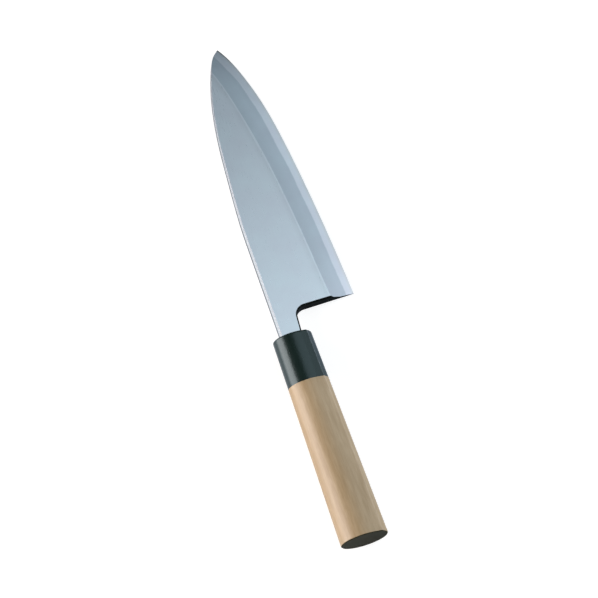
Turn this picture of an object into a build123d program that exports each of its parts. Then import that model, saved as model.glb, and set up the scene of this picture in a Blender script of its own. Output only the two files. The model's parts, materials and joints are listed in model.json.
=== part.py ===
from build123d import *
from math import acos, atan2, cos, degrees, pi, sin, sqrt
import os

# A deba: a heavy single-bevel kitchen knife with a laminated blade on a hidden tang.
# It is drawn with the handle's axis along X and the tip at +X, Y up to the spine and Z out of
# the bevelled front. X = 0 is the front of the ferrule. At the end the whole knife is laid on its
# back, as it lies on a table, and its origin goes to the middle of its underside.

# Outline of the blade
neck_length = 16.2
blade_run = 177.7
heel_height = 52.5
tip_drop = 23.6
spine_rise = 7.1
straight_spine = 50.5
neck_height = 12.8
neck_flare = 1.3
choil_lean = 1.2
choil_radius = 6.5

# Thickness of the blade, measured from its flat back
neck_thickness = 9.4
tip_thickness = 4.5
shinogi_thickness = 7.0
edge_land = 0.2
spine_easing = 0.5
neck_easing = 1.0
heel_ease_depth = 1.3
heel_ease_run = 10.0

# The hard-steel plate on the back
plate_at_heel = 2.45
plate_at_tip = 1.8
plate_scarf = 12.0

# The hollow ground into the back
hollow_depth = 0.6
hollow_rim = 4.0

# The tang inside the handle
tang_length = 95.0
tang_root_height = 11.2
tang_root_thickness = 7.4
tang_end_height = 6.0
tang_end_thickness = 3.0

# The grip: ferrule, handle and butt coat share one tapering outer shape
grip_length = 135.3
front_height = 24.4
butt_height = 29.6
front_rise = 0.5
butt_rise = -0.1
ferrule_length = 31.7
lip_radius = 1.2
ridge_radius = 0.8
butt_easing = 0.6
butt_coat = 0.4
tenon_height = 19.6
tenon_thickness = 14.4
seal_depth = 2.5
seal_recess = 0.4
bedding_gap = 0.5
bedding_end = 3.0

# Steps in which the ferrule's rounded lip is turned
lip_steps = 4

# Overrun of every cut past the surface that it leaves
overrun = 10.0

# Shares of the blade's run at which the edge and the ridge of the bevel are given. The first
# lies behind the heel and the last beyond the tip, so that the bevel runs off the blade.
station_shares = (-0.05, 0.0, 0.19, 0.40, 0.60, 0.77, 0.89, 1.0, 1.04)
# How far the edge has come up from the level of the tip (0) to that of the heel (1)
edge_shares = (1.015, 1.0, 0.933, 0.831, 0.70, 0.5285, 0.3195, 0.0, -0.195)
# How far the ridge of the bevel, the shinogi, lies below the spine, as shares of the heel's height
shinogi_shares = (0.725, 0.71, 0.666, 0.608, 0.527, 0.422, 0.318, 0.17, 0.108)
# The spine's drop to the tip: shares of its curved run, and of the whole drop
spine_run_shares = (0.30, 0.50, 0.69, 0.84, 0.93, 0.97, 1.0)
spine_drop_shares = (0.080, 0.167, 0.317, 0.525, 0.712, 0.840, 1.0)
# The plate's thickness along the blade, from the heel (0) to the tip (1) of its taper, gently wavy
plate_run_shares = (0.0, 0.12, 0.25, 0.36, 0.42, 0.48, 0.60, 0.67, 0.75, 0.80, 0.85, 0.92, 1.0, 1.05)
plate_taper_shares = (0.0, 0.11, 0.48, 0.71, 0.70, 0.94, 0.90, 1.12, 1.28, 1.23, 1.41, 1.06, 1.0, 1.0)
# How far past the ridge and the edge the grinding of the bevel is carried
bevel_past_share = 0.12
# The hollow: shares of the blade's run at which its width is given, and of its full depth there
hollow_run_shares = (0.045, 0.11, 0.30, 0.50, 0.70, 0.88)
hollow_width_shares = (0.60, 0.93, 1.0, 1.0, 0.97, 0.60)
hollow_depth_shares = (0.12, 0.80, 1.0, 0.95, 0.75, 0.10)
# The deepest place of the eased heel: how far it lies from the ridge towards the edge
heel_flank_share = 0.42
# The grip's thickness as a share of its height, and the ridge along its front. The ridge stands
# this far from the axis where the oval is 1, and this far to the edge side.
grip_thickness_share = 0.77
ridge_stand_share = 1.06
ridge_side_share = 0.72

heel_x = neck_length + choil_lean
tip_x = heel_x + blade_run
tip_y = spine_rise - tip_drop
heel_y = spine_rise - heel_height
neck_y = spine_rise - neck_height
choil_y = neck_y - neck_flare
back_z = -neck_thickness / 2


def front_plane():
    """The flat front of the blade, from the spine down to the ridge of the bevel."""
    at_neck = Vector(0, spine_rise, back_z + neck_thickness)
    at_tip = Vector(tip_x, spine_rise, back_z + tip_thickness)
    at_ridge = Vector(heel_x, spine_rise - heel_height * shinogi_shares[1], back_z + shinogi_thickness)
    normal = (at_tip - at_neck).cross(at_neck - at_ridge).normalized()
    return Plane(origin=at_neck, x_dir=at_tip - at_neck, z_dir=normal)


def on_front(x, y):
    """The point of the flat front over a place on the blade."""
    flat = front_plane()
    fall = (x - flat.origin.X) * flat.z_dir.X + (y - flat.origin.Y) * flat.z_dir.Y
    return Vector(x, y, flat.origin.Z - fall / flat.z_dir.Z)


def edge_points():
    """Points of the cutting edge, on top of its thin land."""
    return [
        Vector(heel_x + blade_run * run, tip_y - (heel_height - tip_drop) * rise, back_z + edge_land)
        for run, rise in zip(station_shares, edge_shares)
    ]


def shinogi_points():
    """Points of the ridge between the flat front and the bevel."""
    return [
        on_front(heel_x + blade_run * run, spine_rise - heel_height * drop)
        for run, drop in zip(station_shares, shinogi_shares)
    ]


def rail(points):
    """A smooth line through one point at each station."""
    return Edge.make_spline(points, parameters=list(station_shares))


def bevel_waste():
    """All that the grinding of the bevel takes away."""
    pairs = list(zip(shinogi_points(), edge_points()))
    above = rail([ridge + (ridge - edge) * bevel_past_share for ridge, edge in pairs])
    below = rail([edge + (edge - ridge) * bevel_past_share for ridge, edge in pairs])
    ground = Face.make_surface_from_curves(above, below)
    return Solid.extrude(ground, Vector(0, 0, neck_thickness + overrun))


def blade_outline():
    """Outline of the blade and neck on the flat back."""
    curve_x = heel_x + straight_spine
    spine_end = Vector(curve_x, spine_rise)
    curved = [spine_end] + [
        Vector(curve_x + (tip_x - curve_x) * run, spine_rise - tip_drop * drop)
        for run, drop in zip(spine_run_shares, spine_drop_shares)
    ]
    edge = rail([Vector(point.X, point.Y) for point in edge_points()])
    edge = edge.trim(Vector(heel_x, heel_y), Vector(tip_x, tip_y))
    outline = [
        Line((-seal_depth, spine_rise), spine_end),
        Spline(*curved, tangents=[(1, 0), curved[-1] - curved[-2]]),
        edge,
        Polyline((heel_x, heel_y), (neck_length, choil_y), (-seal_depth, neck_y)),
        Line((-seal_depth, neck_y), (-seal_depth, spine_rise)),
    ]
    blade = make_face(outline)
    choil = blade.vertices().sort_by_distance((neck_length, choil_y))[0]
    return fillet(choil, choil_radius)


def lifted(shape, height):
    """The shape at a height above the handle's axis."""
    return Pos(0, 0, height) * shape


def heel_waste():
    """What the file takes off the bevel's corner at the heel."""
    ridge, edge = shinogi_points()[1], edge_points()[1]
    flank = ridge + (edge - ridge) * heel_flank_share - Vector(0, 0, heel_ease_depth)
    outside = edge - Vector(0, overrun, 0)
    above = Vector(0, 0, neck_thickness + overrun)
    corners = [ridge, flank, edge, outside, outside + above, ridge + above]
    face = Face(Wire.make_polygon(corners, close=True))
    slope = Vector(heel_ease_run, 0, heel_ease_depth)
    return Solid.extrude(face.translate(-slope), slope * 4)


def front_edges(blank):
    """The edges round the flat front of the blank."""
    flat = front_plane()
    return [e for e in blank.edges() if abs((e @ 0.5 - flat.origin).dot(flat.z_dir)) < edge_land / 10]


def eased(blank):
    """The blank with the front corners of its neck and spine broken."""
    lower = [e for e in front_edges(blank) if e.center().Y < 0]
    neck = [e for e in lower if max((e @ 0).X, (e @ 1).X) < neck_length]
    blank = chamfer(neck, neck_easing)
    along = [e for e in front_edges(blank) if e.center().X > 0]
    spine = [e for e in along if max((e @ 0).Y, (e @ 1).Y) > spine_rise - edge_land]
    return chamfer(spine, spine_easing)


def blade_blank():
    """Body and plate together, forged flat and ground on the front."""
    blank = lifted(extrude(blade_outline(), amount=neck_thickness + overrun), back_z)
    blank = split(blank, bisect_by=front_plane(), keep=Keep.BOTTOM)
    return eased(blank) - bevel_waste() - heel_waste()


def hollow_waste():
    """The shallow hollow of the back, inside a flat rim along the spine, heel and edge."""
    outline = blade_outline()
    sections = []
    for run, width, depth in zip(hollow_run_shares, hollow_width_shares, hollow_depth_shares):
        x = heel_x + blade_run * run
        across = Edge.make_line((x, heel_y - overrun), (x, spine_rise + overrun))
        box = outline.intersect(across)[0].bounding_box()
        middle = (box.min.Y + box.max.Y) / 2
        half = ((box.max.Y - box.min.Y) / 2 - hollow_rim) * width
        crown = back_z + hollow_depth * depth
        floor = back_z - overrun
        arc = ThreePointArc((x, middle - half, back_z), (x, middle, crown), (x, middle + half, back_z))
        walls = Polyline(arc @ 1, (x, middle + half, floor), (x, middle - half, floor), arc @ 0)
        sections.append(make_face([arc, walls]))
    return loft(sections)


def plate_space():
    """All that lies behind the weld between the body and the hard-steel plate."""
    side = heel_y - overrun
    floor = back_z - overrun
    points = [
        (heel_x + blade_run * run, side, back_z + plate_at_heel + (plate_at_tip - plate_at_heel) * taper)
        for run, taper in zip(plate_run_shares, plate_taper_shares)
    ]
    weld = Spline(*points)
    far_x = (weld @ 1).X
    scarf_x = heel_x - plate_scarf
    ends = Polyline(weld @ 1, (far_x, side, floor), (scarf_x, side, floor), (scarf_x, side, back_z), weld @ 0)
    return extrude(make_face([weld, ends]), amount=heel_height + 2 * overrun, dir=(0, 1, 0))


def across_handle(x):
    """Plane across the handle, drawn with the spine to the right and the front up."""
    return Plane(origin=(x, 0, 0), x_dir=(0, 1, 0), z_dir=(1, 0, 0))


def tang(gap=0.0, end=0.0):
    """The tapering tang, or the room for it with a gap all round and at its end."""
    root = Rectangle(tang_root_height + 2 * gap, tang_root_thickness + 2 * gap)
    tip = Rectangle(tang_end_height + 2 * gap, tang_end_thickness + 2 * gap)
    return loft([across_handle(-seal_depth) * root, across_handle(-tang_length - end) * tip], ruled=True)


def blade_body():
    """The soft-iron body of the blade, with its neck and tang in one forging."""
    return blade_blank() - plate_space() + tang()


def edge_steel():
    """The hard-steel plate: the whole back of the blade and the band along its edge."""
    return (blade_blank() & plate_space()) - hollow_waste()


def grip_height(x):
    """Height of the grip's outside at a place along the handle."""
    return front_height + (butt_height - front_height) * -x / grip_length


def grip_rise(x):
    """How far the middle of the grip's outside lies to the spine's side of the tang's axis."""
    return front_rise + (butt_rise - front_rise) * -x / grip_length


def grip_section(x, inset=0.0):
    """The grip's outside across the handle: an oval with one soft ridge along its front."""
    half = grip_height(x) / 2 - inset
    wide, thick = half, half * grip_thickness_share
    ridge_up_share = sqrt(ridge_stand_share**2 - ridge_side_share**2)
    turn = degrees(atan2(ridge_up_share, -ridge_side_share))
    reach = degrees(acos(1 / ridge_stand_share))
    oval = EllipticalCenterArc((0, 0), wide, thick, start_angle=turn + reach, arc_size=360 - 2 * reach)
    ridge = Vector(-wide * ridge_side_share, thick * ridge_up_share)
    face = make_face([oval, Line(oval @ 1, ridge), Line(ridge, oval @ 0)])
    corner = face.vertices().sort_by_distance(ridge)[0]
    return across_handle(x) * Pos(grip_rise(x)) * fillet(corner, ridge_radius)


def grip():
    """The outer shape that the ferrule, the handle and the butt coat share."""
    turns = [step / lip_steps * pi / 2 for step in range(lip_steps, -1, -1)]
    sections = [grip_section(lip_radius * (sin(turn) - 1), lip_radius * (1 - cos(turn))) for turn in turns]
    sections.append(grip_section(butt_easing - grip_length))
    sections.append(grip_section(-grip_length, butt_easing))
    return loft(sections, ruled=True)


def between(solid, back, front):
    """The stretch of a solid from one place along the handle to another."""
    solid = split(solid, bisect_by=across_handle(back), keep=Keep.TOP)
    return split(solid, bisect_by=across_handle(front), keep=Keep.BOTTOM)


def bore(back, front):
    """An oval rod as wide as the ferrule's bore."""
    return extrude(across_handle(back) * Ellipse(tenon_height / 2, tenon_thickness / 2), amount=front - back)


def ferrule():
    """The horn ferrule, bored right through."""
    return between(grip(), -ferrule_length, overrun) - bore(-ferrule_length - overrun, overrun)


def handle():
    """The wooden grip with its tenon, burnt out for the tang."""
    wood = between(grip(), butt_coat - grip_length, -ferrule_length)
    wood += bore(-ferrule_length, -seal_depth)
    return wood - tang(bedding_gap, bedding_end)


def tang_bedding():
    """The cement round the tang and past its end."""
    return tang(bedding_gap, bedding_end) - tang()


def mouth_seal():
    """The resin round the neck in the ferrule's mouth."""
    return bore(-seal_depth, -seal_recess) - blade_blank()


def butt_seal():
    """The lacquer coat on the end grain."""
    return between(grip(), -grip_length - overrun, butt_coat - grip_length)


def table_plane():
    """The table under the knife as it lies on its back, on its tip and the lowest end of its grip."""
    tip = Vector(tip_x, 0, back_z)
    places = (-lip_radius, butt_easing - grip_length)
    ends = [Vector(x, 0, -grip_height(x) / 2 * grip_thickness_share) for x in places]
    seat = max(ends, key=lambda end: (tip.Z - end.Z) / (tip.X - end.X))
    along = tip - seat
    return Plane(origin=seat, x_dir=along, z_dir=along.cross(Vector(0, 1, 0)))


pieces = {
    "blade_body": blade_body(),
    "edge_steel": edge_steel(),
    "ferrule": ferrule(),
    "handle": handle(),
    "mouth_seal": mouth_seal(),
    "tang_bedding": tang_bedding(),
    "butt_seal": butt_seal(),
}

table = table_plane()
laid = {name: table.to_local_coords(piece) for name, piece in pieces.items()}
whole = Compound(list(laid.values())).bounding_box()
centre = Vector((whole.min.X + whole.max.X) / 2, (whole.min.Y + whole.max.Y) / 2)

os.makedirs("parts", exist_ok=True)
for name, piece in laid.items():
    export_step(Pos(-centre) * piece, f"parts/{name}.step")
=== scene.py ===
import json
import math

import bmesh
import bpy
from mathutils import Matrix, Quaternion, Vector


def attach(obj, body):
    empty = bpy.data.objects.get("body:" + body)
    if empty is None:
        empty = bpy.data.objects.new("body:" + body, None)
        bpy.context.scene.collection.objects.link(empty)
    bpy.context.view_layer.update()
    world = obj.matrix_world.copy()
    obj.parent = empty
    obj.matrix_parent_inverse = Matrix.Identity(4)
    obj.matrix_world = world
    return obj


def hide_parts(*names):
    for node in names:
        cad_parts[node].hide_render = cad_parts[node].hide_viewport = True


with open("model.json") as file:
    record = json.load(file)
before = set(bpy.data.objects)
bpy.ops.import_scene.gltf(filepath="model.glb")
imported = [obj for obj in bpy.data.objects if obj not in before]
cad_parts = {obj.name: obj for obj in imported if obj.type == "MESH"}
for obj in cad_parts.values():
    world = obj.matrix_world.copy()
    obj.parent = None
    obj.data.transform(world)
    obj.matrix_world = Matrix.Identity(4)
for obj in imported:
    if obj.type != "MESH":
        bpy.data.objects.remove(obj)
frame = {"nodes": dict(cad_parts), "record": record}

bpy.context.view_layer.update()

mm = 0.001


# Blade body
# The soft-iron body of the blade is one forging with its neck and its tang. Its flat front is
# polished to a satin, its bevel is left hazy by the whetstone, and its spine is ground bright.
# Black forging scale stays on the heel's end and under the neck, where no wheel reaches.

mounts = {mount["name"]: mount for mount in frame["record"]["mounts"]}
back_face = mounts["back_face"]
blade_up = -Vector(back_face["axis"])
blade_along = Vector((blade_up.z, 0, -blade_up.x))
lying_angle = math.atan2(blade_up.x, blade_up.z)
plate_points = [vertex.co for vertex in frame["nodes"]["edge_steel"].data.vertices]
heel = min(plate_points, key=lambda point: (round(point.y, 6), point.z))
tip = max(plate_points, key=lambda point: point.x)

merge_gap = 0.001 * mm
level_angle = math.radians(0.02)


def joined(node):
    """A copy of a CAD node's mesh, its loose triangles merged and its flat faces made whole."""
    shape = bmesh.new()
    shape.from_mesh(frame["nodes"][node].data)
    bmesh.ops.remove_doubles(shape, verts=shape.verts, dist=merge_gap)
    bmesh.ops.dissolve_limit(shape, angle_limit=level_angle, verts=shape.verts, edges=shape.edges)
    return shape


# How much of a face's normal points some way: straight, mostly, largely, in part or hardly.
straight, mostly, largely, in_part, hardly = 0.99, 0.85, 0.6, 0.3, 0.05


def side_of(face):
    """Which side of the blade a face is on, by the way that it looks."""
    along, across, up = face.normal.dot(blade_along), face.normal.y, face.normal.dot(blade_up)
    if up < -mostly:
        return "back"
    if up > straight:
        return "front"
    if across > in_part:
        return "spine" if up < in_part else "rim"
    if up > in_part and across < -largely:
        return "arris"
    if up > in_part and along > -in_part:
        return "bevel" if along > -hardly else "eased"
    return "end" if up < in_part else "corner"


def lean(face):
    """The way that a face is shaded: the eased heel is shaded as the bevel beside it."""
    beside = [other for edge in face.edges for other in edge.link_faces if side_of(other) == "bevel"]
    if side_of(face) != "eased" or not beside:
        return face.normal
    return max(beside, key=lambda other: other.calc_area()).normal


def corner_normals(shape):
    """At every corner the mean way of the faces that meet there smoothly, the large ones first."""
    weighed = {face: lean(face) * face.calc_area() ** 2 for face in shape.faces}
    normals = []
    for face in shape.faces:
        for corner in face.loops:
            met, waiting = set(), [face]
            while waiting:
                near = waiting.pop()
                met.add(near)
                waiting += [
                    other for edge in near.edges if edge.smooth and corner.vert in edge.verts
                    for other in edge.link_faces if other not in met]
            normals.append(sum((weighed[near] for near in met), Vector()).normalized())
    return normals


def piece(name, node, shape, finishes, smooth_angle, blended=()):
    """A shown piece that takes a CAD node's place, with a finish for each side, some sides blended."""
    mesh = bpy.data.meshes.new(name)
    used = list(dict.fromkeys(finishes.values()))
    for face in shape.faces:
        face.material_index = used.index(finishes.get(side_of(face), finishes["other"]))
        face.smooth = True
    for edge in shape.edges:
        pair = {side_of(face) for face in edge.link_faces}
        edge.smooth = edge.calc_face_angle(0) < smooth_angle or pair <= set(blended)
    normals = corner_normals(shape)
    shape.to_mesh(mesh)
    shape.free()
    mesh.normals_split_custom_set(normals)
    for material in used:
        mesh.materials.append(material)
    made = bpy.data.objects.new(name, mesh)
    bpy.context.scene.collection.objects.link(made)
    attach(made, "root")
    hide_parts(node)
    return made


def linear(hex_colour):
    """An sRGB hex colour as linear red, green, blue and alpha."""
    parts = [int(hex_colour[i:i + 2], 16) / 255 for i in (0, 2, 4)]
    return [part / 12.92 if part <= 0.04045 else ((part + 0.055) / 1.055) ** 2.4 for part in parts] + [1.0]


def add(tree, kind, settings=None, links=None):
    """A new node with its settings, and its inputs linked or set."""
    made = tree.nodes.new("ShaderNode" + kind)
    for name, value in (settings or {}).items():
        setattr(made, name, value)
    for name, value in (links or {}).items():
        if isinstance(value, bpy.types.NodeSocket):
            tree.links.new(value, made.inputs[name])
        else:
            made.inputs[name].default_value = value
    return made


def finish(name, **settings):
    """A material with one Principled shader, and that shader and its tree."""
    made = bpy.data.materials.new(name)
    made.use_nodes = True
    tree = made.node_tree
    shader = tree.nodes["Principled BSDF"]
    for setting, value in settings.items():
        shader.inputs[setting.replace("_", " ")].default_value = value
    return made, tree, shader


def knife_place(tree, origin, turn=0.0, size=(1, 1, 1)):
    """Places in the knife's own lie, from an origin on it, turned about the height, counted in a size."""
    coordinates = add(tree, "TexCoord")
    lie = add(tree, "Mapping", {"vector_type": "TEXTURE"}, {
        "Vector": coordinates.outputs["Object"], "Location": origin, "Rotation": (0, lying_angle, 0)})
    turned = add(tree, "Mapping", {"vector_type": "TEXTURE"}, {
        "Vector": lie.outputs["Vector"], "Rotation": (0, 0, turn)})
    counted = add(tree, "Mapping", {}, {
        "Vector": turned.outputs["Vector"], "Scale": [1 / length for length in size]})
    return counted.outputs["Vector"]


smoothly = {"interpolation_type": "SMOOTHSTEP"}
by_vector = {"data_type": "VECTOR"}

cloud_width = 14 * mm
line_share = 0.6
warm_cloud, cool_cloud = (1.03, 0.99, 1.01), (0.97, 1.01, 0.99)
gloss_swing = 0.03
line_relief = 0.25


def grind(tree, shader, hue, roughness, line_width, line_length, turn, depth, strength):
    """The fine parallel lines of a wheel or a stone, which vary the shade, the gloss and the relief."""
    place = knife_place(tree, heel, turn, (line_length, line_width, line_width))
    lines = add(tree, "TexNoise", {}, {"Vector": place, "Scale": 1.0, "Detail": 3.0, "Roughness": 0.6})
    broad = knife_place(tree, heel, turn, (cloud_width,) * 3)
    clouds = add(tree, "TexNoise", {}, {"Vector": broad, "Scale": 1.0, "Detail": 2.0})
    both = add(tree, "Math", {"operation": "MULTIPLY_ADD"}, {
        0: lines.outputs["Fac"], 1: line_share, 2: clouds.outputs["Fac"]})
    shade = add(tree, "MapRange", {}, {
        "Value": both.outputs[0], "From Min": 0.45, "From Max": 1.15,
        "To Min": 1 - strength, "To Max": 1 + strength})
    shaded = add(tree, "VectorMath", {"operation": "SCALE"}, {0: hue, "Scale": shade.outputs["Result"]})
    tint = add(tree, "Mix", by_vector, {"Factor": clouds.outputs["Fac"], 4: warm_cloud, 5: cool_cloud})
    tinted = add(tree, "VectorMath", {"operation": "MULTIPLY"}, {
        0: shaded.outputs["Vector"], 1: tint.outputs[1]})
    tree.links.new(tinted.outputs["Vector"], shader.inputs["Base Color"])
    gloss = add(tree, "MapRange", {}, {
        "Value": lines.outputs["Fac"], "From Min": 0.3, "From Max": 0.7,
        "To Min": roughness - gloss_swing, "To Max": roughness + gloss_swing})
    tree.links.new(gloss.outputs["Result"], shader.inputs["Roughness"])
    relief = add(tree, "Bump", {}, {
        "Height": lines.outputs["Fac"], "Strength": line_relief, "Distance": depth})
    tree.links.new(relief.outputs["Normal"], shader.inputs["Normal"])


# Satin soft iron: low-carbon iron polished with a fine belt along the blade. It gives an even,
# slightly blue grey with the faintest lengthwise lines. Beside the ridge of the bevel a slightly
# darker strip of painted shade is put in, and along the ridge itself a thin painted highlight.
satin_iron, tree, shader = finish("satin_soft_iron", Metallic=1.0)
painted_glint_width, painted_strip_from, painted_strip_to = 0.4 * mm, 1.3 * mm, 4.5 * mm
from_ridge = add(tree, "Attribute", {"attribute_name": "from_ridge"})
# Painted highlight: the colour is lifted in a thin line on the ridge, then painted darker as shade beside it.
painted_ridge_glint = add(tree, "MapRange", smoothly, {
    "Value": from_ridge.outputs["Fac"], "From Min": painted_glint_width, "From Max": painted_strip_from,
    "To Min": 1.03, "To Max": 0.93})
# Beyond the painted shade the colour comes back to the iron's own grey.
past_painted_strip = add(tree, "MapRange", {}, {
    "Value": from_ridge.outputs["Fac"], "From Min": painted_strip_from, "From Max": painted_strip_to,
    "To Min": 0.0, "To Max": 0.07})
painted_ridge_shading = add(tree, "Math", {}, {0: painted_ridge_glint.outputs["Result"], 1: past_painted_strip.outputs["Result"]})
hue = add(tree, "VectorMath", {"operation": "SCALE"}, {0: linear("D0D4D9")[:3], "Scale": painted_ridge_shading.outputs[0]})
grind(tree, shader, hue.outputs["Vector"], 0.30, 0.35 * mm, 12 * mm, 0.0, 0.01 * mm, 0.04)

# Bright ground iron: the spine, ground along the blade and buffed. Its lowest part, by the back, is
# painted dark grey as shade, and it is painted darker as shade where it curves down to the tip.
bright_iron, tree, shader = finish("bright_ground_iron", Metallic=1.0)
edge_shade_from, edge_shade_to = 2.6 * mm, 4.0 * mm
spine_tip_shade_from, spine_tip_shade_to = 70 * mm, 165 * mm
height = add(tree, "SeparateXYZ", {}, {"Vector": knife_place(tree, back_face["pos_m"])})
# Painted shade: the spine is painted dark grey below a small height above the back.
clear_of_edge_shade = add(tree, "MapRange", smoothly, {
    "Value": height.outputs["Z"], "From Min": edge_shade_from, "From Max": edge_shade_to})
# Painted shade: along the blade towards the tip the spine's colour is painted darker.
painted_spine_tip_shade = add(tree, "MapRange", smoothly, {
    "Value": height.outputs["X"], "From Min": spine_tip_shade_from, "From Max": spine_tip_shade_to})
bright = add(tree, "Mix", by_vector, {
    "Factor": painted_spine_tip_shade.outputs["Result"], 4: linear("E4E4DF")[:3], 5: linear("6E7378")[:3]})
hue = add(tree, "Mix", by_vector, {
    "Factor": clear_of_edge_shade.outputs["Result"], 4: linear("64656A")[:3], 5: bright.outputs[1]})
grind(tree, shader, hue.outputs[1], 0.34, 0.3 * mm, 15 * mm, 0.0, 0.01 * mm, 0.04)

# Broken corner: the spine's sharp corner, taken off with a coarse stone, so it is dull.
broken_corner, tree, shader = finish("stone_broken_corner", Metallic=1.0)
grind(tree, shader, linear("898D91")[:3], 0.55, 0.3 * mm, 4 * mm, 0.0, 0.01 * mm, 0.04)


def mottle(tree, shader, pattern, dark, light, gloss=None, relief=None, figure=None, span=(0.0, 1.0)):
    """An uneven skin: a pattern varies its gloss and relief, and that or a figure varies its shade."""
    hues = add(tree, "ValToRGB", {}, {"Fac": pattern if figure is None else figure})
    for end, place, shade in zip(hues.color_ramp.elements, span, (dark, light)):
        end.position, end.color = place, linear(shade)
    tree.links.new(hues.outputs["Color"], shader.inputs["Base Color"])
    if gloss:
        dullness = add(tree, "MapRange", {}, {"Value": pattern, "To Min": gloss[0], "To Max": gloss[1]})
        tree.links.new(dullness.outputs["Result"], shader.inputs["Roughness"])
    if relief:
        bumps = add(tree, "Bump", {}, {"Height": pattern, "Strength": relief[0], "Distance": relief[1]})
        tree.links.new(bumps.outputs["Normal"], shader.inputs["Normal"])


# Forging scale: the black oxide left from the fire, dull and slightly pitted.
scale_black, tree, shader = finish("black_forging_scale", IOR=1.4, Specular_IOR_Level=0.04)
pit_width = 0.9 * mm
pits = add(tree, "TexNoise", {}, {
    "Vector": knife_place(tree, heel, 0.0, (pit_width,) * 3), "Scale": 1.0, "Detail": 4.0})
mottle(tree, shader, pits.outputs["Fac"], "070909", "171A18", (0.5, 0.75), (0.3, 0.05 * mm))

# Whetstone bevel: iron and steel ground in one plane. The stone hazes the soft iron to a darker
# grey and leaves the hard steel lighter, with a soft line at the weld; on the iron, painted shade
# deepens towards the ridge. The honed strip along the edge is a little warmer, and a painted shadow
# darkens its outermost millimetre in the last centimetre before the tip.
whetstone_bevel, tree, shader = finish("whetstone_bevel", Metallic=1.0)
iron_hue, steel_hue, honed_hue = linear("BCC5CC")[:3], linear("D9DDE3")[:3], linear("D7D9DA")[:3]
# The hue of the painted shadow at the edge near the tip.
painted_tip_shadow_hue = linear("6C6E6B")[:3]
weld_haze, weld_waver, waver_length = 0.5 * mm, 0.8 * mm, 5 * mm
hollow_shade_from, hollow_shade_to = -7 * mm, -1 * mm
honed_from, honed_to = 0.4 * mm, 2.6 * mm
tip_shadow_from, tip_shadow_to = -16 * mm, -2 * mm
shadow_rim_from, shadow_rim_to = 0.2 * mm, 1.2 * mm
past_weld = add(tree, "Attribute", {"attribute_name": "past_weld"})
waver = add(tree, "TexNoise", {}, {
    "Vector": knife_place(tree, heel, 0.0, (waver_length,) * 3), "Scale": 1.0, "Detail": 3.0})
wavering = add(tree, "Math", {"operation": "MULTIPLY_ADD"}, {
    0: waver.outputs["Fac"], 1: weld_waver, 2: past_weld.outputs["Fac"]})
hardness = add(tree, "MapRange", smoothly, {
    "Value": wavering.outputs[0],
    "From Min": weld_waver / 2 - weld_haze, "From Max": weld_waver / 2 + weld_haze,
    "To Min": 1.0, "To Max": 0.0})
from_ridge = add(tree, "Attribute", {"attribute_name": "from_ridge"})
# Painted shade on the iron of the bevel, darker towards the ridge.
painted_bevel_shade = add(tree, "MapRange", {}, {
    "Value": from_ridge.outputs["Fac"], "From Min": hollow_shade_from, "From Max": hollow_shade_to,
    "To Min": 1.02, "To Max": 0.94})
iron = add(tree, "VectorMath", {"operation": "SCALE"}, {0: iron_hue, "Scale": painted_bevel_shade.outputs["Result"]})
welded = add(tree, "Mix", by_vector, {
    "Factor": hardness.outputs["Result"], 4: iron.outputs["Vector"], 5: steel_hue})
from_edge = add(tree, "Attribute", {"attribute_name": "from_edge"})
honed = add(tree, "MapRange", smoothly, {
    "Value": from_edge.outputs["Fac"], "From Min": honed_from, "From Max": honed_to})
warmed = add(tree, "Mix", by_vector, {
    "Factor": honed.outputs["Result"], 4: honed_hue, 5: welded.outputs[1]})
# Painted shadow: a thin dark line along the edge in the last centimetre before the tip.
along_edge = add(tree, "SeparateXYZ", {}, {"Vector": knife_place(tree, tip)})
tip_shadow_reach = add(tree, "MapRange", smoothly, {
    "Value": along_edge.outputs["X"], "From Min": tip_shadow_from, "From Max": tip_shadow_to})
shadow_rim = add(tree, "MapRange", smoothly, {
    "Value": from_edge.outputs["Fac"], "From Min": shadow_rim_from, "From Max": shadow_rim_to,
    "To Min": 1.0, "To Max": 0.0})
painted_tip_shadow = add(tree, "Math", {"operation": "MULTIPLY"}, {
    0: tip_shadow_reach.outputs["Result"], 1: shadow_rim.outputs["Result"]})
hue = add(tree, "Mix", by_vector, {"Factor": painted_tip_shadow.outputs[0], 4: warmed.outputs[1], 5: painted_tip_shadow_hue})
grind(tree, shader, hue.outputs[1], 0.34, 0.4 * mm, 5 * mm, math.radians(62), 0.012 * mm, 0.05)

eased_run = 3 * mm
blade_smooth = math.radians(12)


def bevel_line(shape, side):
    """The places, along and across, where the bevel meets another side, but for the eased heel."""
    return sorted(
        (vertex.co.x, vertex.co.y) for vertex in shape.verts
        if {"bevel", side} <= {side_of(face) for face in vertex.link_faces}
        and vertex.co.x > heel.x + eased_run)


def across_at(line, place):
    """How far across a line lies at a place along the blade, its ends drawn on straight."""
    parts = [(near, far) for near, far in zip(line, line[1:]) if far[0] > near[0]]
    near, far = next((part for part in parts if place <= part[1][0]), parts[-1])
    return near[1] + (far[1] - near[1]) * (place - near[0]) / (far[0] - near[0])


def store_distances(made, lines):
    """How far each vertex lies from each line towards the spine, kept as attributes."""
    for name, line in lines.items():
        attribute = made.data.attributes.new(name, "FLOAT", "POINT")
        for vertex, value in zip(made.data.vertices, attribute.data):
            value.value = vertex.co.y - across_at(line, vertex.co.x)


body_shape, plate_shape = joined("blade_body"), joined("edge_steel")
bevel_lines = {
    "past_weld": bevel_line(body_shape, "back"), "from_edge": bevel_line(plate_shape, "end"),
    "from_ridge": bevel_line(body_shape, "front")}
body_finishes = {
    "front": satin_iron, "back": satin_iron, "rim": broken_corner, "spine": bright_iron,
    "bevel": whetstone_bevel, "eased": whetstone_bevel, "other": scale_black}
body = piece(
    "soft_iron_body", "blade_body", body_shape, body_finishes,
    blade_smooth, ("bevel", "eased"))
store_distances(body, bevel_lines)


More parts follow.
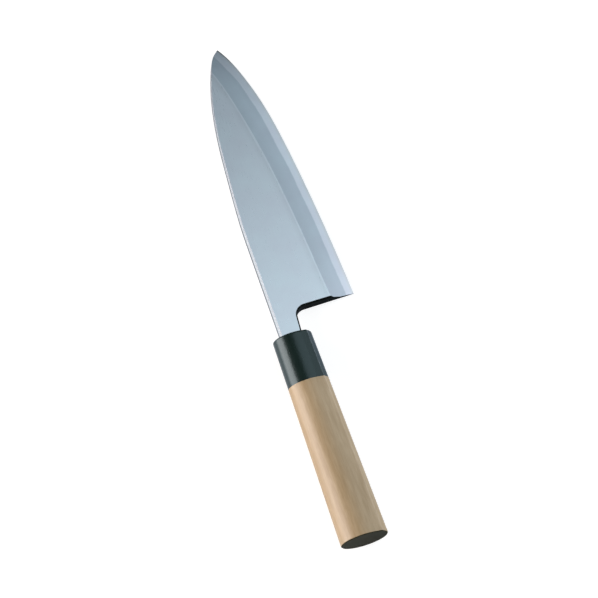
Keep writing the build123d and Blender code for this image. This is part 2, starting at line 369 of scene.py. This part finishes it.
# Edge steel
# The hard-steel plate is forge-welded to the back of the body and comes out as the light band
# along the edge. Its back is ground flat, with a shallow hollow inside a narrow rim.

# Stone-flattened steel: the back, rubbed flat on a fine stone, so it is bright and even.
flat_steel, tree, shader = finish("stone_flattened_steel", Metallic=1.0)
grind(tree, shader, linear("CDD2D6")[:3], 0.28, 0.35 * mm, 9 * mm, math.radians(80), 0.01 * mm, 0.04)

plate_finishes = {
    "bevel": whetstone_bevel, "eased": whetstone_bevel, "back": flat_steel, "front": flat_steel,
    "spine": bright_iron, "rim": bright_iron, "other": scale_black}
plate = piece(
    "hard_steel_plate", "edge_steel", plate_shape, plate_finishes,
    blade_smooth, ("bevel", "eased"))
store_distances(plate, bevel_lines)


# Ferrule
# The ferrule is a turned ring of black buffalo horn, pressed and glued over the tenon. It is
# polished with the handle, so its outside runs on into the wood.

grip_smooth = math.radians(32)
grip_end = Vector(mounts["butt_face"]["pos_m"])

# Polished black horn: keratin with fine fibres along the handle, glossy and almost black.
horn, tree, shader = finish("polished_black_horn", IOR=1.55, Specular_Tint=linear("E4F6FA"))
horn_fibre = 14 * mm, 0.8 * mm, 0.8 * mm
fibres = add(tree, "TexNoise", {}, {
    "Vector": knife_place(tree, grip_end, 0.0, horn_fibre), "Scale": 1.0, "Detail": 4.0, "Roughness": 0.6})
mottle(
    tree, shader, fibres.outputs["Fac"], "0A1610", "101F18", (0.22, 0.30), (0.12, 0.02 * mm),
    span=(0.35, 0.75))

piece("horn_ferrule", "ferrule", joined("ferrule"), {"other": horn}, grip_smooth)


# Mouth seal
# Dark resin, poured round the neck and set a little below the ferrule's mouth.

# Set resin: matt black, with a slightly uneven skin.
resin, tree, shader = finish("set_black_resin", Roughness=0.5)
resin_lump = 2 * mm
skin = add(tree, "TexNoise", {}, {
    "Vector": knife_place(tree, grip_end, 0.0, (resin_lump,) * 3), "Scale": 1.0, "Detail": 3.0})
mottle(tree, shader, skin.outputs["Fac"], "0B0D0D", "1C1F1E", relief=(0.3, 0.1 * mm))

piece("resin_mouth_seal", "mouth_seal", joined("mouth_seal"), {"other": resin}, grip_smooth)


# Handle
# One stick of magnolia wood, planed to an oval with a ridge along its front, sanded and left bare.
# Its tenon goes into the ferrule, and the tang is burnt in from the front.

# Sanded magnolia: pale brown wood with straight, close grain and hardly any pores.
wood, tree, shader = finish("sanded_magnolia_wood", IOR=1.48, Specular_IOR_Level=0.7)
wood_band, wood_fibre = (25 * mm, 3 * mm, 3 * mm), (6 * mm, 0.5 * mm, 0.5 * mm)
band_share = 0.6
bands = add(tree, "TexNoise", {}, {
    "Vector": knife_place(tree, grip_end, 0.0, wood_band), "Scale": 1.0, "Detail": 3.0})
fibres = add(tree, "TexNoise", {}, {
    "Vector": knife_place(tree, grip_end, 0.0, wood_fibre), "Scale": 1.0, "Detail": 4.0, "Roughness": 0.65})
figure = add(tree, "Mix", {"data_type": "FLOAT"}, {
    "Factor": band_share, 2: fibres.outputs["Fac"], 3: bands.outputs["Fac"]})
mottle(
    tree, shader, fibres.outputs["Fac"], "987D56", "B19876", (0.36, 0.5), (0.2, 0.03 * mm),
    figure.outputs[0], (0.32, 0.68))

piece("magnolia_handle", "handle", joined("handle"), {"other": wood}, grip_smooth)


# Butt coat
# A thin dark lacquer on the end grain, which keeps water out.

# Brushed lacquer: dark olive brown, dull, with the end grain showing faintly through.
lacquer, tree, shader = finish(
    "dark_end_lacquer", IOR=1.45, Specular_IOR_Level=0.12, Specular_Tint=linear("F0E2BE"))
end_grain = 2 * mm, 0.6 * mm, 0.6 * mm
grain = add(tree, "TexNoise", {}, {
    "Vector": knife_place(tree, grip_end, 0.0, end_grain), "Scale": 1.0, "Detail": 3.0})
mottle(tree, shader, grain.outputs["Fac"], "2A261A", "3E3A28", (0.58, 0.72), (0.2, 0.04 * mm))

piece("lacquered_butt", "butt_seal", joined("butt_seal"), {"other": lacquer}, grip_smooth)


# Tang bedding
# The cement that holds the tang in its burnt socket. It is out of sight inside the handle.

# Set cement: grey-brown, rough and grainy.
cement, tree, shader = finish("set_cement", Roughness=0.85)
sand_grain = 0.7 * mm
grains = add(tree, "TexNoise", {}, {
    "Vector": knife_place(tree, grip_end, 0.0, (sand_grain,) * 3), "Scale": 1.0, "Detail": 4.0})
mottle(tree, shader, grains.outputs["Fac"], "5A5044", "80756A")
frame["nodes"]["tang_bedding"].material_slots[0].material = cement


# Floor
# A pale table top under the knife. The camera and the steel see it white, and it keeps the shadow.
# What the steel mirrors of it is a painted glow: dimmer close by, as painted shade, and far brighter
# than white further off on the spine's side, as painted light.

floor_half = 3.0
floor_mesh = bpy.data.meshes.new("floor")
shape = bmesh.new()
bmesh.ops.create_grid(shape, x_segments=1, y_segments=1, size=floor_half)
shape.to_mesh(floor_mesh)
shape.free()
floor = bpy.data.objects.new("floor", floor_mesh)
bpy.context.scene.collection.objects.link(floor)

floor_finish = bpy.data.materials.new("pale_table_top")
floor_finish.use_nodes = True
tree = floor_finish.node_tree
tree.nodes.remove(tree.nodes["Principled BSDF"])
glow_dim_from, glow_dim_to, glow_bright_to = -20 * mm, 60 * mm, 300 * mm
paper = add(tree, "BsdfDiffuse", {}, {"Color": linear("F2F2F2")})
faint = add(tree, "BsdfDiffuse", {}, {"Color": linear("ACA7A2")})
glow = add(tree, "Emission", {}, {"Color": linear("FFFFFF"), "Strength": 0.8})
seen = add(tree, "AddShader", {}, {0: glow.outputs[0], 1: faint.outputs[0]})
sheen = add(tree, "BsdfDiffuse", {}, {"Color": linear("C4D2E0")})
place = add(tree, "NewGeometry")
sides = add(tree, "SeparateXYZ", {}, {"Vector": place.outputs["Position"]})
# Painted glow for the steel's reflections: dim by the knife as painted shade, bright beyond it as painted
# light.
painted_glow_near = add(tree, "MapRange", {}, {
    "Value": sides.outputs["Y"], "From Min": glow_dim_from, "From Max": glow_dim_to, "To Min": 0.05, "To Max": 0.7})
painted_glow_far = add(tree, "MapRange", {}, {
    "Value": sides.outputs["Y"], "From Min": glow_dim_to, "From Max": glow_bright_to, "To Min": 0.0, "To Max": 3.3})
painted_glow_level = add(tree, "Math", {}, {0: painted_glow_near.outputs["Result"], 1: painted_glow_far.outputs["Result"]})
painted_mirror_glow = add(tree, "Emission", {}, {"Color": linear("FFFFFF"), "Strength": painted_glow_level.outputs[0]})
mirrored = add(tree, "AddShader", {}, {0: painted_mirror_glow.outputs[0], 1: sheen.outputs[0]})
path = add(tree, "LightPath")
shine = add(tree, "Math", {"operation": "MAXIMUM"}, {
    0: path.outputs["Is Glossy Ray"], 1: path.outputs["Is Transmission Ray"]})
straight_on = add(tree, "MixShader", {}, {
    0: path.outputs["Is Camera Ray"], 1: paper.outputs[0], 2: seen.outputs[0]})
top = add(tree, "MixShader", {}, {0: shine.outputs[0], 1: straight_on.outputs[0], 2: mirrored.outputs[0]})
tree.links.new(top.outputs[0], tree.nodes["Material Output"].inputs["Surface"])
floor_mesh.materials.append(floor_finish)


# Lights
# A tall softbox on the spine's side lights the handle, and a wide diffuser hangs over the edge's
# side, brighter towards the handle. Two pale cards fill in from low on the edge's side, one of
# them by the butt.

key_level, panel_level, card_level, butt_card_level, room_level = 6.4, 1.37, 6.7, 2.2, 0.16


def softbox(name, place, turn, width, height, level, hue):
    """A flat lamp at a place, of a brightness where 1 is white, turned from facing straight down."""
    data = bpy.data.lights.new(name, "AREA")
    data.shape = "RECTANGLE"
    data.size, data.size_y = width, height
    data.energy = level * math.pi * width * height
    data.color = linear(hue)[:3]
    lamp = bpy.data.objects.new(name, data)
    lamp.location = place
    lamp.rotation_euler = [math.radians(angle) for angle in turn]
    bpy.context.scene.collection.objects.link(lamp)
    return data


softbox("spine_side_softbox", (0.30, 1.1, 0.465), (-82, 0, 0), 1.3, 0.93, key_level, "FFF6F5")
softbox("edge_side_card", (0.05, -1.0, 0.16), (82, 0, 0), 1.4, 0.30, card_level, "F2F5FF")
softbox("butt_side_card", (-0.55, -0.8, 0.20), (80, 0, -25), 0.7, 0.40, butt_card_level, "E6F0FF")
diffuser = softbox("overhead_diffuser", (0.30, -0.59, 0.92), (0, 0, 0), 1.8, 1.08, panel_level, "E7F6FF")
diffuser.use_nodes = True
tree = diffuser.node_tree
fade_slant, fade_from, fade_to, faded_level = 0.35, 0.20, 0.58, 0.03
place = add(tree, "NewGeometry")
sides = add(tree, "SeparateXYZ", {}, {"Vector": place.outputs["Position"]})
slant = add(tree, "Math", {"operation": "MULTIPLY_ADD"}, {
    0: sides.outputs["Y"], 1: fade_slant, 2: sides.outputs["X"]})
fade = add(tree, "MapRange", {}, {
    "Value": slant.outputs[0], "From Min": fade_from, "From Max": fade_to,
    "To Min": 1.0, "To Max": faded_level})
tree.links.new(fade.outputs["Result"], tree.nodes["Emission"].inputs["Strength"])

world = bpy.data.worlds.new("studio_room")
world.use_nodes = True
tree = world.node_tree
room = tree.nodes["Background"]
room.inputs["Color"].default_value = linear("D2ECFA")
room.inputs["Strength"].default_value = room_level
plain = add(tree, "Background", {}, {"Color": linear("FFFFFF"), "Strength": 1.0})
path = add(tree, "LightPath")
both = add(tree, "MixShader", {}, {0: path.outputs["Is Camera Ray"], 1: room.outputs[0], 2: plain.outputs[0]})
tree.links.new(both.outputs[0], tree.nodes["World Output"].inputs["Surface"])
bpy.context.scene.world = world


# Camera
# A long lens high over the knife, from the butt's side and a little from the spine's side.

camera_aim = Vector((-10.66, 5.62, 18.28)) * mm
camera_height, camera_side, camera_roll = math.radians(69.087), math.radians(149.701), math.radians(12.704)
camera_distance = 3.011
camera_data = bpy.data.cameras.new("camera")
camera_data.lens, camera_data.sensor_width = 301.0, 36.0
camera_data.clip_end = 10 * camera_distance
camera = bpy.data.objects.new("camera", camera_data)
back = Vector((
    math.cos(camera_height) * math.cos(camera_side), math.cos(camera_height) * math.sin(camera_side),
    math.sin(camera_height)))
camera.location = camera_aim + back * camera_distance
camera.rotation_mode = "QUATERNION"
camera.rotation_quaternion = back.to_track_quat("Z", "Y") @ Quaternion((0, 0, 1), camera_roll)
bpy.context.scene.collection.objects.link(camera)
bpy.context.scene.camera = camera
bpy.context.scene.view_settings.view_transform = "Standard"

bpy.context.view_layer.update()
